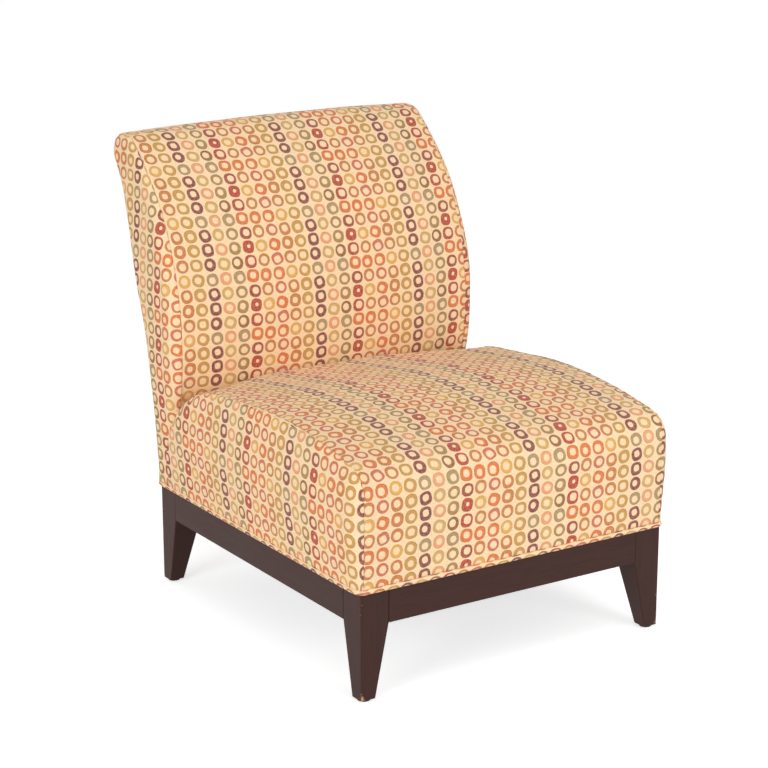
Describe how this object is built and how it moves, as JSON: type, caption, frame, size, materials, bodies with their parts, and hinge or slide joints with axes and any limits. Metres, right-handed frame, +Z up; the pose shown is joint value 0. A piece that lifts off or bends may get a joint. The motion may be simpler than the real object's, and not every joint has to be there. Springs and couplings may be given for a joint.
{
  "type": "slipper chair",
  "caption": "Armless upholstered slipper chair: a low, deep seat and a raked back with a rolled top, on a dark wood base with tapered legs.",
  "frame": {"origin": "on the floor, under the middle of the whole chair", "axes": "+Z up, +X to the right as seen from the front, and the chair faces -Y"},
  "size_m": [0.682, 0.8737, 0.865],
  "materials": {
    "stained_wood": "satin",
    "frame_wood": "matte",
    "printed_cloth": "matte",
    "lining_cloth": "matte",
    "webbing": "matte",
    "foam": "matte",
    "card": "matte",
    "steel": "satin",
    "nylon": "matte"
  },
  "bodies": {
    "root": {"back_board": "card", "back_cover_inside": "printed_cloth", "back_cover_outside": "printed_cloth", "back_foam": "foam", "back_lag_screws": "steel", "back_post_left": "frame_wood", "back_post_right": "frame_wood", "back_rail_bottom": "frame_wood", "back_rail_middle": "frame_wood", "back_rail_top": "frame_wood", "back_side_left": "printed_cloth", "back_side_right": "printed_cloth", "back_strap_1": "webbing", "back_strap_2": "webbing", "back_strap_3": "webbing", "back_strap_4": "webbing", "back_tack_strip": "card", "base_block_front_left": "frame_wood", "base_block_front_right": "frame_wood", "base_block_rear_left": "frame_wood", "base_block_rear_right": "frame_wood", "base_block_screws": "steel", "base_bolts": "steel", "base_rail_front": "stained_wood", "base_rail_left": "stained_wood", "base_rail_rear": "stained_wood", "base_rail_right": "stained_wood", "dust_cover": "lining_cloth", "glide_front_left": "nylon", "glide_front_right": "nylon", "glide_rear_left": "nylon", "glide_rear_right": "nylon", "hem_front": "printed_cloth", "hem_left": "printed_cloth", "hem_rear": "printed_cloth", "hem_right": "printed_cloth", "leg_front_left": "stained_wood", "leg_front_right": "stained_wood", "leg_rear_left": "stained_wood", "leg_rear_right": "stained_wood", "seat_corner_blocks": "frame_wood", "seat_cover": "printed_cloth", "seat_foam": "foam", "seat_insulator": "lining_cloth", "seat_rail_front": "frame_wood", "seat_rail_left": "frame_wood", "seat_rail_rear": "frame_wood", "seat_rail_right": "frame_wood", "seat_side_left": "printed_cloth", "seat_side_right": "printed_cloth", "seat_web_cross_1": "webbing", "seat_web_cross_2": "webbing", "seat_web_cross_3": "webbing", "seat_web_cross_4": "webbing", "seat_web_cross_5": "webbing", "seat_web_long_1": "webbing", "seat_web_long_2": "webbing", "seat_web_long_3": "webbing", "seat_web_long_4": "webbing", "seat_web_long_5": "webbing"}
  },
  "joints": []
}
